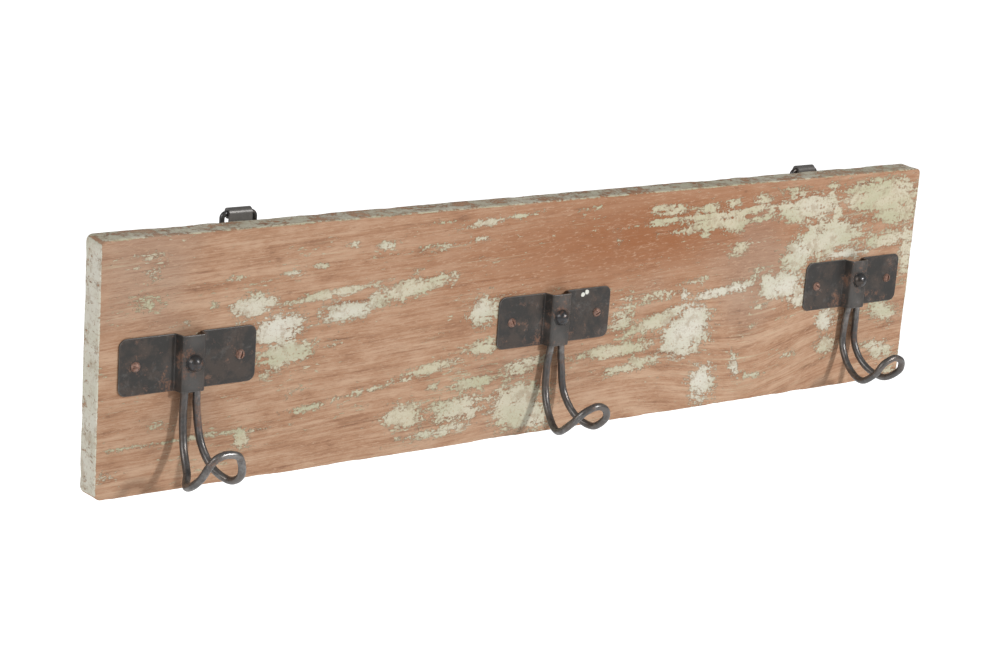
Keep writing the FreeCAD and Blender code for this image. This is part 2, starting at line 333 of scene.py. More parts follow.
@dataclass(frozen=True)
class WornPaintOnWood:
    """Bare reddish wood with flaking cream and pale green paint."""

    heartwood: Colour = (0.215, 0.103, 0.055)
    midwood: Colour = (0.335, 0.186, 0.108)
    sapwood: Colour = (0.430, 0.280, 0.184)
    grey_wood: Colour = (0.290, 0.195, 0.140)
    pore: Colour = (0.100, 0.048, 0.030)
    rich_wood: Colour = (0.250, 0.095, 0.036)
    cream: Colour = (0.440, 0.392, 0.270)
    pale_green: Colour = (0.385, 0.368, 0.248)
    chalk: Colour = (0.530, 0.508, 0.435)
    grime: Colour = (0.270, 0.190, 0.120)
    grain_rise: float = 0.045
    end_paint: tuple[float, float] = (0.10446, 0.10511)  # square of the distance along
    top_paint: tuple[float, float] = (0.0760, 0.0770)  # height where the top edge starts
    knot_x: float = 0.172
    knot_z: float = -0.066

    def make(self) -> bpy.types.Material:
        """Builds the material.

        Returns:
            The board's material.
        """
        r = Recipe("worn_paint_on_wood")
        cover = r.add("ShaderNodeAttribute", {"attribute_name": "paint_cover"}, {}, "Fac")
        white = r.add("ShaderNodeAttribute", {"attribute_name": "paint_white"}, {}, "Fac")

        # Grain lines rise gently to the right and bow around the knot.
        along, across = r.x - self.knot_x, r.z - self.knot_z
        bow = ((along / 0.062) ** 2.0 + (across / 0.055) ** 2.0).falloff()
        drift = r.cloud(r.vector(r.x * 4.0, r.y * 4.0, r.z * 14.0), 1.0, 2.0)
        level = r.z - r.x * self.grain_rise + bow * 0.018 + drift * 0.008

        # The ends keep nearly all of their paint, the top edge about half of it.
        end = (r.x * r.x).step(*self.end_paint)
        cover = cover.high(end * 0.92).high(r.z.step(*self.top_paint) * 0.72)
        white = white.high(end * 0.90)
        bands = r.cloud(r.vector(r.x * 3.0, r.y * 20.0, level * 120.0), 1.0, 6.0, 0.62)
        lines = r.cloud(r.vector(r.x * 16.0, r.y * 60.0, level * 520.0), 1.0, 7.0, 0.70)
        fine = r.cloud(r.vector(r.x * 110.0, r.y * 300.0, level * 1900.0), 1.0, 4.0, 0.70)
        fleck = r.cloud(r.vector(r.x * 190.0, r.y * 300.0, level * 900.0 + 3.0), 1.0, 5.0, 0.72)
        mottle = r.cloud(r.vector(r.x * 34.0, r.y * 60.0, level * 90.0), 1.0, 6.0, 0.72)
        blotch = r.cloud(r.place, 9.0, 3.0)
        wood = r.ramp(bands * 0.30 + lines * 0.35 + mottle * 0.35,
                      [(0.39, self.heartwood), (0.48, self.midwood), (0.57, self.sapwood)])
        rich = (((r.x - 0.075) / 0.16) ** 2.0 + ((level - 0.050) / 0.034) ** 2.0).falloff()
        wood = r.mix((rich * (0.75 + mottle * 0.5)).clamp(), wood, self.rich_wood)
        wood = r.mix(blotch.step(0.52, 0.72) * 0.50, wood, self.grey_wood)
        wood = r.mix(lines.step(0.42, 0.28) * 0.45, wood, self.pore)
        wood = r.mix(fine.step(0.46, 0.32) * 0.60, wood, self.heartwood)
        wood = r.mix(fleck.step(0.53, 0.66) * 0.60, wood, self.sapwood)
        wood = r.mix(mottle.step(0.40, 0.26) * 0.45, wood, self.pore)

        # Old paint stays in the grain as pale lines, most of it near the knot.
        trace = r.cloud(r.vector(r.x * 20.0, r.y * 60.0, level * 800.0 + 31.0), 1.0, 5.0, 0.74)
        clump = r.cloud(r.vector(r.x * 22.0, r.y * 20.0, r.z * 60.0 + 5.0), 1.0, 4.0, 0.6)
        soaked = 0.10 + clump.step(0.50, 0.68) * 0.55 + cover * 0.45 + bow * 0.60
        left_over = trace.step(0.545, 0.66) * soaked.clamp()
        wood = r.mix(left_over * 0.80, wood, self.cream)

        # Flakes: coarse ragged edges, fine crumbs and a little pull along the grain.
        flake = r.cloud(r.vector(r.x * 105.0, r.y * 110.0, level * 150.0), 1.0, 10.0, 0.80)
        streak = r.cloud(r.vector(r.x * 40.0, r.y * 80.0, level * 420.0 + 7.0), 1.0, 7.0, 0.70)
        crumbs = r.cells(r.vector(r.x, r.y, level * 1.4), 420.0)
        pocks = r.cloud(r.place, 620.0, 4.0, 0.7)
        edge = (cover * 0.84 + (flake - 0.5) * 2.3 + (streak - 0.5) * 1.0
                + (pocks - 0.5) * 0.70 - (crumbs - 0.45) * 0.32)
        paint = edge.step(0.485, 0.52)
        spatter = r.cloud(r.vector(r.x * 170.0, r.y * 200.0, level * 620.0), 1.0, 4.0, 0.66)
        spatter = spatter + (clump - 0.5) * 0.55 + cover * 0.10
        paint = paint.high(spatter.step(0.685, 0.71) * 0.85)
        rim = edge.step(0.44, 0.50) * (1.0 - edge.step(0.54, 0.70))

        tone = r.cloud(r.vector(r.x * 26.0, r.y * 26.0, r.z * 60.0), 1.0, 5.0)
        coat = r.mix(tone.step(0.38, 0.62), self.pale_green, self.cream)
        coat = r.mix((white * 0.95 + (tone - 0.5) * 1.2).clamp(), coat, self.chalk)
        dirt = r.cloud(r.vector(r.x * 130.0, r.y * 130.0, r.z * 130.0), 1.0, 6.0, 0.7)
        coat = r.mix(dirt.step(0.50, 0.64) * 0.48, coat, self.grime)
        coat = r.mix(pocks.step(0.44, 0.33) * 0.60, coat, self.midwood)
        coat = r.mix(rim * 0.38, coat, self.grime)
        colour = r.mix(paint, wood, coat)

        relief = lines * 0.50 + fine * 0.30 + mottle * 0.45
        normal = r.bump(relief, 0.00045, 0.60)
        normal = r.bump(paint * 0.7 + paint * dirt * 0.3, 0.00028, 0.85, normal)
        rough = 0.62 + lines * 0.20 - paint * 0.10
        return r.finish(Base_Color=colour, Roughness=rough, Normal=normal,
                        Specular_IOR_Level=0.32)


@dataclass(frozen=True)
class BlackenedSteel:
    """Blackened steel sheet or forged wire, worn grey in places and rusting in others; grey is also
    painted on as sheen and highlight.
    """

    name: str
    black: Colour = (0.024, 0.022, 0.020)
    brown: Colour = (0.048, 0.036, 0.029)
    grey: Colour = (0.115, 0.108, 0.102)
    rust: Colour = (0.115, 0.050, 0.026)
    pale_rust: Colour = (0.230, 0.110, 0.062)
    wear: float = 0.5
    rusting: float = 0.3
    metal: float = 0.35
    gloss: float = 0.42
    rust_spots: tuple[tuple[float, float, float, float], ...] = ()
    paint_spots: tuple[tuple[float, float, float, float], ...] = ()
    # Spots painted grey as a painted sheen; they also count as wear for roughness and metallic.
    painted_sheen_spots: tuple[tuple[float, float, float, float], ...] = ()

    def make(self) -> bpy.types.Material:
        """Builds the material.

        Returns:
            The steel finish.
        """
        r = Recipe(self.name)
        patina = r.cloud(r.place, 55.0, 6.0, 0.6)
        scuff = r.cloud(r.place, 260.0, 6.0, 0.7, 0.4)
        pits = r.cloud(r.place, 900.0, 3.0, 0.6)
        worn = (patina * 0.5 + scuff * 0.5).step(0.62 - 0.2 * self.wear, 0.80 - 0.2 * self.wear)
        tan = r.cloud(r.place, 90.0, 5.0, 0.7)
        colour = r.mix(tan.step(0.42, 0.62), self.black, self.brown)
        # Convex edges turn grey: partly rubbed wear, partly a painted highlight along the edges.
        edge = r.add("ShaderNodeNewGeometry", {}, {}, "Pointiness")
        edge_wear_and_highlight = edge.step(0.505, 0.56) * (0.45 + scuff * 0.9)
        # Painted sheen: these listed spots lighten the colour towards grey, as light falling there
        # would, and through the wear mask they also lower roughness and raise metallic.
        for x, y, z, reach in self.painted_sheen_spots:
            worn = worn + r.near((x, y, z), reach) * (0.25 + scuff * 0.65)
        colour = r.mix((worn * 0.8 + edge_wear_and_highlight).clamp(), colour, self.grey)
        bloom = (r.cloud(r.place, 120.0, 7.0, 0.68) * 0.7 + pits * 0.3)
        need = bloom + self.rusting * 0.12
        for x, y, z, reach in self.rust_spots:
            need = need + r.near((x, y, z), reach) * 0.11
        rust = need.step(0.60, 0.74)
        rust_colour = r.mix(scuff.step(0.40, 0.66), self.rust, self.pale_rust)
        colour = r.mix(rust * 0.75, colour, rust_colour)
        for x, y, z, reach in self.paint_spots:
            smear = r.near((x, y, z), reach) + (scuff - 0.5) * 0.9
            colour = r.mix(smear.step(0.55, 0.66), colour, (0.62, 0.62, 0.56))
        normal = r.bump(patina * 0.5 + scuff * 0.35 + pits * 0.15 + rust * 0.25, 0.00022, 0.55)
        rough = self.gloss + (scuff - 0.5) * 0.22 + rust * 0.30 - worn * 0.05
        metallic = (self.metal + worn * 0.25 - rust * 0.6).clamp()
        return r.finish(Base_Color=colour, Roughness=rough, Metallic=metallic, Normal=normal)


@dataclass(frozen=True)
class RustyScrew:
    """Coppery rust on a worn screw head."""

    name: str
    bright: Colour = (0.270, 0.150, 0.110)
    dark: Colour = (0.070, 0.034, 0.024)
    steel: Colour = (0.250, 0.200, 0.180)

    def make(self) -> bpy.types.Material:
        """Builds the material.

        Returns:
            The screw finish.
        """
        r = Recipe(self.name)
        scale = r.cloud(r.place, 420.0, 6.0, 0.65)
        grain = r.cloud(r.place, 1500.0, 3.0, 0.6)
        colour = r.ramp(scale * 0.75 + grain * 0.25,
                        [(0.36, self.dark), (0.50, self.bright), (0.66, self.steel)])
        normal = r.bump(scale * 0.6 + grain * 0.4, 0.00018, 0.7)
        return r.finish(Base_Color=colour, Roughness=0.45 + grain * 0.25,
                        Metallic=(0.25 + scale * 0.5).clamp(), Normal=normal)


# ----------------------------------------------------------------------------- mesh tools


def new_piece(name: str, mesh_data: bmesh.types.BMesh, body: str,
              material: bpy.types.Material, smooth: bool = True) -> bpy.types.Object:
    """Turns a bmesh into a piece that rides on a body.

    Args:
        name: the piece's name.
        mesh_data: its geometry; freed here.
        body: the CAD body it rides on.
        material: its finish.
        smooth: whether faces are shaded smooth.

    Returns:
        The new object.
    """
    bmesh.ops.recalc_face_normals(mesh_data, faces=mesh_data.faces)
    mesh = bpy.data.meshes.new(name)
    mesh_data.to_mesh(mesh)
    mesh_data.free()
    piece = bpy.data.objects.new(name, mesh)
    bpy.context.scene.collection.objects.link(piece)
    mesh.materials.append(material)
    for polygon in mesh.polygons:
        polygon.use_smooth = smooth
    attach(piece, body)
    return piece


def dress(node: str, material: bpy.types.Material) -> bpy.types.Object:
    """Gives a carried-over CAD node its finish.

    Args:
        node: the node's name.
        material: its finish.

    Returns:
        The node's object.
    """
    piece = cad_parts[node]
    for slot in piece.material_slots:
        slot.material = material
    return piece


# -------------------------------------------------------------------------------- plank


@dataclass(frozen=True)
class PaintPatch:
    """One area where paint is left, in millimetres on the board's face."""

    x: float
    z: float
    half_width: float
    half_height: float
    rise: float = 0.075
    amount: float = 1.0
    white: float = 0.2

    def weight(self, x: float, z: float) -> float:
        """How much of this patch's paint is at a point, from 0 to its amount."""
        across = x - self.x
        up = z - self.z - across * self.rise
        reach = (across / self.half_width) ** 2 + (up / self.half_height) ** 2
        return self.amount * 1.12 * math.exp(-0.62 * reach)


PATCHES: tuple[PaintPatch, ...] = (
    # beside the left plate
    PaintPatch(-224, 30, 15, 7, white=0.5), PaintPatch(-206, 13, 18, 10, white=0.8),
    PaintPatch(-158, 20, 20, 7, white=0.9), PaintPatch(-114, 29, 32, 6, 0.14, white=0.2),
    PaintPatch(-172, 32, 42, 2.6, 0.10, 0.9), PaintPatch(-200, -2, 19, 8, white=0.3),
    PaintPatch(-172, -1, 18, 3, 0.1, 0.6), PaintPatch(-214, -13, 5, 5, amount=0.7),
    PaintPatch(-269, 24, 9, 2.5, amount=0.6, white=0.6), PaintPatch(-250, 32, 5, 4, amount=0.7),
    # along the lower left
    PaintPatch(-228, -52, 5, 7, amount=0.95, white=0.0), PaintPatch(-270, -47, 58, 1.8, 0.01, 0.75),
    PaintPatch(-182, -38, 14, 2.2, 0.12, 0.9), PaintPatch(-140, -32, 45, 1.8, 0.11, 0.75),
    PaintPatch(-92, -23, 22, 4, 0.14, 0.9, 0.0), PaintPatch(-54, -14, 13, 6, 0.2, 0.95),
    PaintPatch(-193, -27, 7, 4, 0.1, 0.6), PaintPatch(-284, -35, 8, 4, 0.0, 0.6),
    PaintPatch(-316, -62, 8, 5, 0.0, 0.5, 0.7),
    # around and under the middle plate
    PaintPatch(-55, 9, 12, 11, 0.0, 0.95, 0.6), PaintPatch(-61, -37, 17, 5, 0.05, 0.95, 0.2),
    PaintPatch(-91, -36, 6, 3, 0.0, 0.7), PaintPatch(-112, -53, 15, 8, 0.0, 1.0, 0.1),
    PaintPatch(-73, -53, 21, 8, 0.0, 1.0, 0.3), PaintPatch(-90, -67, 24, 3.5, 0.05, 0.85, 0.5),
    PaintPatch(-22, -57, 22, 18, 0.0, 1.0, 0.3), PaintPatch(-20, -30, 18, 5, 0.15, 0.9, 0.3),
    PaintPatch(-8, -66, 14, 10, 0.0, 0.9, 0.5),
    # small flecks along the upper left
    PaintPatch(-292, 66, 13, 2.5, 0.0, 0.6), PaintPatch(-292, 54, 12, 6, 0.0, 0.5, 0.4),
    PaintPatch(-293, 38, 10, 6, 0.0, 0.65, 0.1), PaintPatch(-155, 61, 6, 2.5, 0.0, 0.85),
    PaintPatch(-133, 59, 8, 3, 0.05, 0.9, 0.5), PaintPatch(-198, 47, 9, 2.2, 0.0, 0.8, 0.5),
    PaintPatch(-238, 48, 9, 1.8, 0.0, 0.7), PaintPatch(-96, 54, 24, 3, 0.05, 0.65),
    PaintPatch(-62, 57, 7, 2.5, 0.0, 0.75), PaintPatch(-60, 67, 20, 3, 0.1, 0.8),
    PaintPatch(-28, 70, 14, 2.2, 0.1, 0.7), PaintPatch(-92, 70, 15, 1.8, 0.0, 0.6),
    PaintPatch(-108, 40, 7, 2.5, 0.0, 0.6), PaintPatch(-178, 50, 6, 1.8, 0.0, 0.7),
    PaintPatch(22, 69, 16, 2.0, 0.1, 0.6),
    # upper right bands
    PaintPatch(92, 64, 16, 4, -0.05, 0.95, 0.0), PaintPatch(126, 62, 12, 4, 0.2, 0.9, 0.0),
    PaintPatch(88, 56.5, 16, 2.4, 0.02, 0.95, 0.0), PaintPatch(155, 58, 78, 2.2, 0.04, 0.9, 0.0),
    PaintPatch(128, 51, 32, 4, 0.05, 0.95, 0.0), PaintPatch(125, 46, 6, 4, 0.2, 0.8, 0.0),
    PaintPatch(152, 50, 11, 6, 0.0, 0.95, 0.1), PaintPatch(176, 52, 14, 4, 0.0, 0.85, 0.1),
    PaintPatch(150, 65, 10, 3, 0.0, 0.85, 0.0), PaintPatch(175, 66, 9, 4, 0.0, 0.85, 0.0),
    PaintPatch(205, 69, 18, 3.5, 0.0, 0.85, 0.1), PaintPatch(220, 56, 30, 9, 0.05, 1.05, 0.3),
    PaintPatch(52, 47, 7, 3, 0.1, 0.6), PaintPatch(240, 70, 6, 4, 0.0, 0.7, 0.0),
    # large areas around the right plate
    PaintPatch(288, 60, 36, 13, 0.0, 1.05, 0.1), PaintPatch(304, 47, 22, 9, 0.0, 1.0, 0.1),
    PaintPatch(238, 33, 32, 13, 0.1, 1.1, 0.4), PaintPatch(212, 22, 14, 13, 0.2, 1.0, 0.7),
    PaintPatch(300, 28, 24, 6, 0.0, 0.95, 0.2), PaintPatch(319, 18, 7, 22, 0.0, 0.9, 0.2),
    PaintPatch(246, 46, 5, 14, 0.0, 0.9, 0.2), PaintPatch(262, 20, 20, 4, 0.0, 0.9, 0.9),
    PaintPatch(198, 3, 22, 9, 0.05, 1.05, 0.9), PaintPatch(216, -8, 11, 8, 0.0, 0.85, 0.5),
    PaintPatch(150, 4, 30, 3.6, 0.10, 1.0, 0.8), PaintPatch(176, 13, 8, 6, 0.4, 0.7, 0.5),
    PaintPatch(157, 31, 10, 5, 0.3, 0.85, 0.1), PaintPatch(120, 13, 16, 2.2, 0.1, 0.75, 0.2),
    # right of the middle plate
    PaintPatch(84, 6, 36, 5, 0.08, 0.62, 0.2), PaintPatch(60, -7, 13, 9, 0.3, 0.8, 0.3),
    PaintPatch(90, -12, 30, 6, 0.25, 0.95, 0.3), PaintPatch(116, -21, 20, 17, 0.2, 1.1, 0.9),
    PaintPatch(58, -28, 34, 4.5, 0.05, 1.0, 0.1), PaintPatch(72, -40, 26, 4.2, 0.12, 0.9, 0.2),
    PaintPatch(112, 4, 6, 4, 0.0, 0.7, 0.9),
    # lower right
    PaintPatch(177, -24, 7, 1.8, 0.1, 0.8, 0.2), PaintPatch(183, -11, 7, 2.2, 0.0, 0.8, 0.1),
    PaintPatch(246, -27, 9, 9, 0.0, 0.95, 0.7), PaintPatch(249, -46, 9, 8, 0.0, 0.9, 0.2),
    PaintPatch(301, -25, 16, 8, -0.2, 0.9, 0.3), PaintPatch(302, -55, 17, 7, -0.2, 0.85, 0.4),
    PaintPatch(134, -60, 12, 14, 0.0, 0.95, 0.9), PaintPatch(163, -52, 6, 9, -1.2, 0.9, 0.8),
    PaintPatch(180, -60, 10, 2.4, 0.0, 0.7, 0.5), PaintPatch(213, -49, 8, 4, 0.0, 0.65, 0.3),
    PaintPatch(315, -72, 9, 3, 0.0, 0.7, 0.4),
)


@dataclass
class Plank:
    """The board, with eased and chipped edges."""

    length: float = 650 * MM
    thick: float = 18 * MM
    height: float = 155 * MM
    corner: float = 4 * MM
    cell: float = 2.5 * MM
    edge_steps: tuple[float, ...] = (0.0, 0.12, 0.3, 0.55, 0.9, 1.4, 2.0, 2.9, 4.0, 5.6)
    finish: WornPaintOnWood = field(default_factory=WornPaintOnWood)

    def _stations(self, span: float) -> list[float]:
        """Grid positions across a span, closer together near both ends.

        Args:
            span: the full width.

        Returns:
            Positions from minus half to plus half the span.
        """
        near = [step * MM for step in self.edge_steps]
        middle = span - 2 * near[-1]
        count = max(2, round(middle / self.cell))
        inner = [near[-1] + middle * i / count for i in range(1, count)]
        places = near + inner + [span - step for step in reversed(near)]
        return [place - span / 2 for place in places]

    def _rounded(self, x: float, z: float) -> tuple[float, float, float]:
        """Pulls a grid point into the rounded outline.

        Args:
            x: position along the board.
            z: height.

        Returns:
            The new x and z, and the distance in from the outline.
        """
        limit_x, limit_z = self.length / 2 - self.corner, self.height / 2 - self.corner
        over_x, over_z = max(0.0, abs(x) - limit_x), max(0.0, abs(z) - limit_z)
        inset = min(self.length / 2 - abs(x), self.height / 2 - abs(z))
        if over_x > 0 and over_z > 0:
            scale = max(over_x, over_z) / math.hypot(over_x, over_z)
            x = math.copysign(limit_x + over_x * scale, x)
            z = math.copysign(limit_z + over_z * scale, z)
        return x, z, inset

    @staticmethod
    def _wear(x: float, y: float, z: float) -> float:
        """Radius to which the edge is worn at a point on it."""
        slow = noise.noise(Vector((x * 22, y * 30 + 5, z * 22)))
        quick = noise.noise(Vector((x * 160, y * 90, z * 160)))
        return (1.05 + 0.55 * slow + 0.40 * quick) * MM

    def _face(self, shape: bmesh.types.BMesh, outward: float) -> list[list[bmesh.types.BMVert]]:
        """Adds the front or back face with its share of the eased edge.

        Args:
            shape: the bmesh to add to.
            outward: -1 for the front, +1 for the back.

        Returns:
            The grid of vertices.
        """
        plane = -self.thick if outward < 0 else 0.0
        grid = []
        for z in self._stations(self.height):
            row = []
            for x in self._stations(self.length):
                px, pz, inset = self._rounded(x, z)
                wear = max(0.35 * MM, self._wear(px, plane, pz))
                y = plane
                if inset < wear:
                    y -= outward * (wear - math.sqrt(max(0.0, wear ** 2 - (wear - inset) ** 2)))
                chip = self._chip(px, plane, pz) * max(0.0, 1 - inset / (3.2 * MM))
                px -= math.copysign(chip, px) * (abs(px) > self.length / 2 - self.corner)
                pz -= math.copysign(chip, pz) * (abs(pz) > self.height / 2 - self.corner)
                row.append(shape.verts.new((px, y, pz)))
            grid.append(row)
        return grid

    @staticmethod
    def _chip(x: float, y: float, z: float) -> float:
        """Depth of the chips along the board's edge at a point."""
        dent = noise.fractal(Vector((x * 45, y * 45, z * 45)), 0.8, 2.1, 4)
        return max(0.0, dent + 0.10) * 0.75 * MM

    def mesh(self) -> bmesh.types.BMesh:
        """Builds the worn plank.

        Returns:
            Its geometry.
        """
        shape = bmesh.new()
        front, back = self._face(shape, -1.0), self._face(shape, 1.0)
        for grid in (front, back):
            for low, high in zip(grid, grid[1:]):
                for i in range(len(low) - 1):
                    shape.faces.new((low[i], low[i + 1], high[i + 1], high[i]))

        def rim(grid: list[list[bmesh.types.BMVert]]) -> list[bmesh.types.BMVert]:
            """The grid's outer vertices in order."""
            right = [row[-1] for row in grid[1:-1]]
            left = [row[0] for row in reversed(grid[1:-1])]
            return list(grid[0]) + right + list(reversed(grid[-1])) + left

        rims = [rim(front)]
        steps = 6
        start, end = rim(front), rim(back)
        for step in range(1, steps):
            share = step / steps
            ring = []
            for a, b in zip(start, end):
                place = a.co.lerp(b.co, share)
                dent = self._chip(place.x, place.y, place.z) * math.sin(math.pi * share) * 0.35
                near_end = abs(place.x) > self.length / 2 - self.corner
                near_edge = abs(place.z) > self.height / 2 - self.corner
                place.x -= math.copysign(dent, place.x) * near_end
                place.z -= math.copysign(dent, place.z) * near_edge
                ring.append(shape.verts.new(place))
            rims.append(ring)
        rims.append(end)
        for first, second in zip(rims, rims[1:]):
            count = len(first)
            for i in range(count):
                shape.faces.new((first[i], first[(i + 1) % count],
                                 second[(i + 1) % count], second[i]))
        return shape

    def _cover(self, place: Vector) -> tuple[float, float]:
        """Paint left at a point of the board.

        Args:
            place: the point.

        Returns:
            The amount of paint and how white it is, each from 0 to 1.
        """
        x, z = place.x / MM, place.z / MM
        amount, white = 0.0, 0.0
        for patch in PATCHES:
            weight = patch.weight(x, z)
            amount = max(amount, weight)
            white = max(white, patch.white * weight)
        on_edge = (abs(place.z) > self.height / 2 - 1.2 * MM
                   or abs(place.x) > self.length / 2 - 1.2 * MM)
        if place.y > -0.5 * MM:
            amount, white = amount * 0.15, 0.3
        if on_edge and place.y > -self.thick + 0.4 * MM:
            base = {True: 0.66, False: 0.50}[abs(place.x) > self.length / 2 - 1.2 * MM]
            if place.z < -self.height / 2 + 1.5 * MM:
                base = 0.42
            amount, white = base, 0.55
        return min(1.0, amount), min(1.0, white)

    def build(self) -> bpy.types.Object:
        """Makes the plank, marks where its paint is left and dresses it.

        Returns:
            The plank.
        """
        piece = new_piece("worn_plank", self.mesh(), "rack", self.finish.make())
        cover = piece.data.attributes.new("paint_cover", "FLOAT", "POINT")
        white = piece.data.attributes.new("paint_white", "FLOAT", "POINT")
        for index, vertex in enumerate(piece.data.vertices):
            cover.data[index].value, white.data[index].value = self._cover(vertex.co)
        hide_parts("board")
        return piece


# ------------------------------------------------------------------------ hooks and hangers


def centre(node: str) -> Vector:
    """Middle of a CAD node's box."""
    low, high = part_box(node)
    return (Vector(low) + Vector(high)) / 2


SLOT_ANGLES = {Side.LEFT: (20.0, 105.0), Side.MIDDLE: (70.0, 155.0), Side.RIGHT: (40.0, 92.0)}

# Guide points of each bent wire in millimetres: half spread, distance out, height.
WIRE_GUIDES = {
    Side.LEFT: ((4.6, 5.2, -30.0), (5.9, 9.6, -48.0), (8.8, 19.6, -60.2), (14.3, 30.0, -64.8),
                (13.8, 43.0, -56.9), (8.0, 49.4, -43.5), (0.0, 49.8, -40.9)),
    Side.MIDDLE: ((5.8, 4.5, -30.9), (7.4, 7.4, -49.2), (10.1, 17.5, -62.2), (13.9, 31.5, -66.3),
                  (13.5, 44.5, -57.0), (8.6, 49.7, -49.1), (0.0, 51.7, -45.4)),
    Side.RIGHT: ((5.0, 4.0, -27.5), (5.8, 4.9, -45.7), (7.5, 15.0, -59.1), (10.5, 31.6, -64.2),
                 (11.6, 45.3, -55.6), (8.6, 49.3, -47.5), (0.0, 50.6, -43.7)),
}


def shaken(place: Vector, scale: float, seed: float) -> float:
    """Smooth random value from -1 to 1 at a place.

    Args:
        place: the point in metres.
        scale: features per metre.
        seed: shift that sets one piece apart from another.

    Returns:
        The value.
    """
    return noise.noise(place * scale + Vector((seed, seed * 0.7, -seed)))


@dataclass
class WireHook:
    """Round wire bent by hand: an eye at the rivet, two legs and an upturned bend."""

    side: Side
    wire_radius: float = 2.4 * MM
    leg_half_gap: float = 4.0 * MM
    leg_out: float = 4.68 * MM
    eye_height: float = 2.0 * MM
    leg_end: float = -17.0 * MM
    butt_angle: float = 8.0
    board_front: float = -18.0 * MM
    facets: int = 28

    def _half(self) -> list[Vector]:
        """Centreline points of one leg from the eye's end to the tip.

        Returns:
            Points with the half spread as x.
        """
        points = []
        for step in range(9):
            angle = math.radians(self.butt_angle + (90.0 - self.butt_angle) * step / 8)
            points.append(Vector((self.leg_half_gap * math.sin(angle), self.leg_out,
                                  self.eye_height + self.leg_half_gap * math.cos(angle))))
        for share in (0.33, 0.66, 1.0):
            height = self.eye_height + (self.leg_end - self.eye_height) * share
            points.append(Vector((self.leg_half_gap, self.leg_out, height)))
        points += [Vector(guide) * MM for guide in WIRE_GUIDES[self.side]]
        return points

    def _centreline(self) -> list[Vector]:
        """Dense smooth centreline from one wire end to the other.

        Returns:
            Points in the frame.
        """
        middle = centre("hook_rivet_" + self.side.value).x
        half = self._half()
        left = [Vector((middle - p.x, self.board_front - p.y, p.z)) for p in half]
        right = [Vector((middle + p.x, self.board_front - p.y, p.z)) for p in reversed(half[:-1])]
        knots = left + right
        line = []
        for i in range(len(knots) - 1):
            a = knots[max(0, i - 1)]
            b, c = knots[i], knots[i + 1]
            d = knots[min(len(knots) - 1, i + 2)]
            span = (c - b).length
            out_of_b = (c - a) * (span / max(1e-9, (b - a).length + span))
            into_c = (d - b) * (span / max(1e-9, span + (d - c).length))
            count = max(2, round(span / (0.9 * MM)))
            for step in range(count):
                t = step / count
                h00, h10 = 2 * t ** 3 - 3 * t ** 2 + 1, t ** 3 - 2 * t ** 2 + t
                h01, h11 = 3 * t ** 2 - 2 * t ** 3, t ** 3 - t ** 2
                line.append(b * h00 + out_of_b * h10 + c * h01 + into_c * h11)
        line.append(knots[-1])
        return line

    def build(self, material: bpy.types.Material) -> bpy.types.Object:
        """Sweeps the wire.

        Args:
            material: its finish.

        Returns:
            The wire hook.
        """
        shape = bmesh.new()
        line = self._centreline()
        normal = Vector((0, -1, 0))
        rings = []
        for index, place in enumerate(line):
            ahead = line[min(index + 1, len(line) - 1)] - line[max(index - 1, 0)]
            ahead.normalize()
            normal = (normal - ahead * normal.dot(ahead)).normalized()
            across = ahead.cross(normal)
            ring = []
            for facet in range(self.facets):
                angle = 2 * math.pi * facet / self.facets
                out = normal * math.cos(angle) + across * math.sin(angle)
                skin = place + out * self.wire_radius
                dent = 0.045 * shaken(skin, 190.0, 3.0) + 0.020 * shaken(skin, 620.0, 9.0)
                inside = 1.0 if place.z < self.leg_end else 0.0
                ring.append(shape.verts.new(skin + out * (dent - 0.02) * self.wire_radius * inside))
            rings.append(ring)
        for first, second in zip(rings, rings[1:]):
            for i in range(self.facets):
                j = (i + 1) % self.facets
                shape.faces.new((first[i], first[j], second[j], second[i]))
        shape.faces.new(rings[0])
        shape.faces.new(list(reversed(rings[-1])))
        piece = new_piece("bent_wire_" + self.side.value, shape, "rack", material)
        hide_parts("wire_hook_" + self.side.value)
        return piece


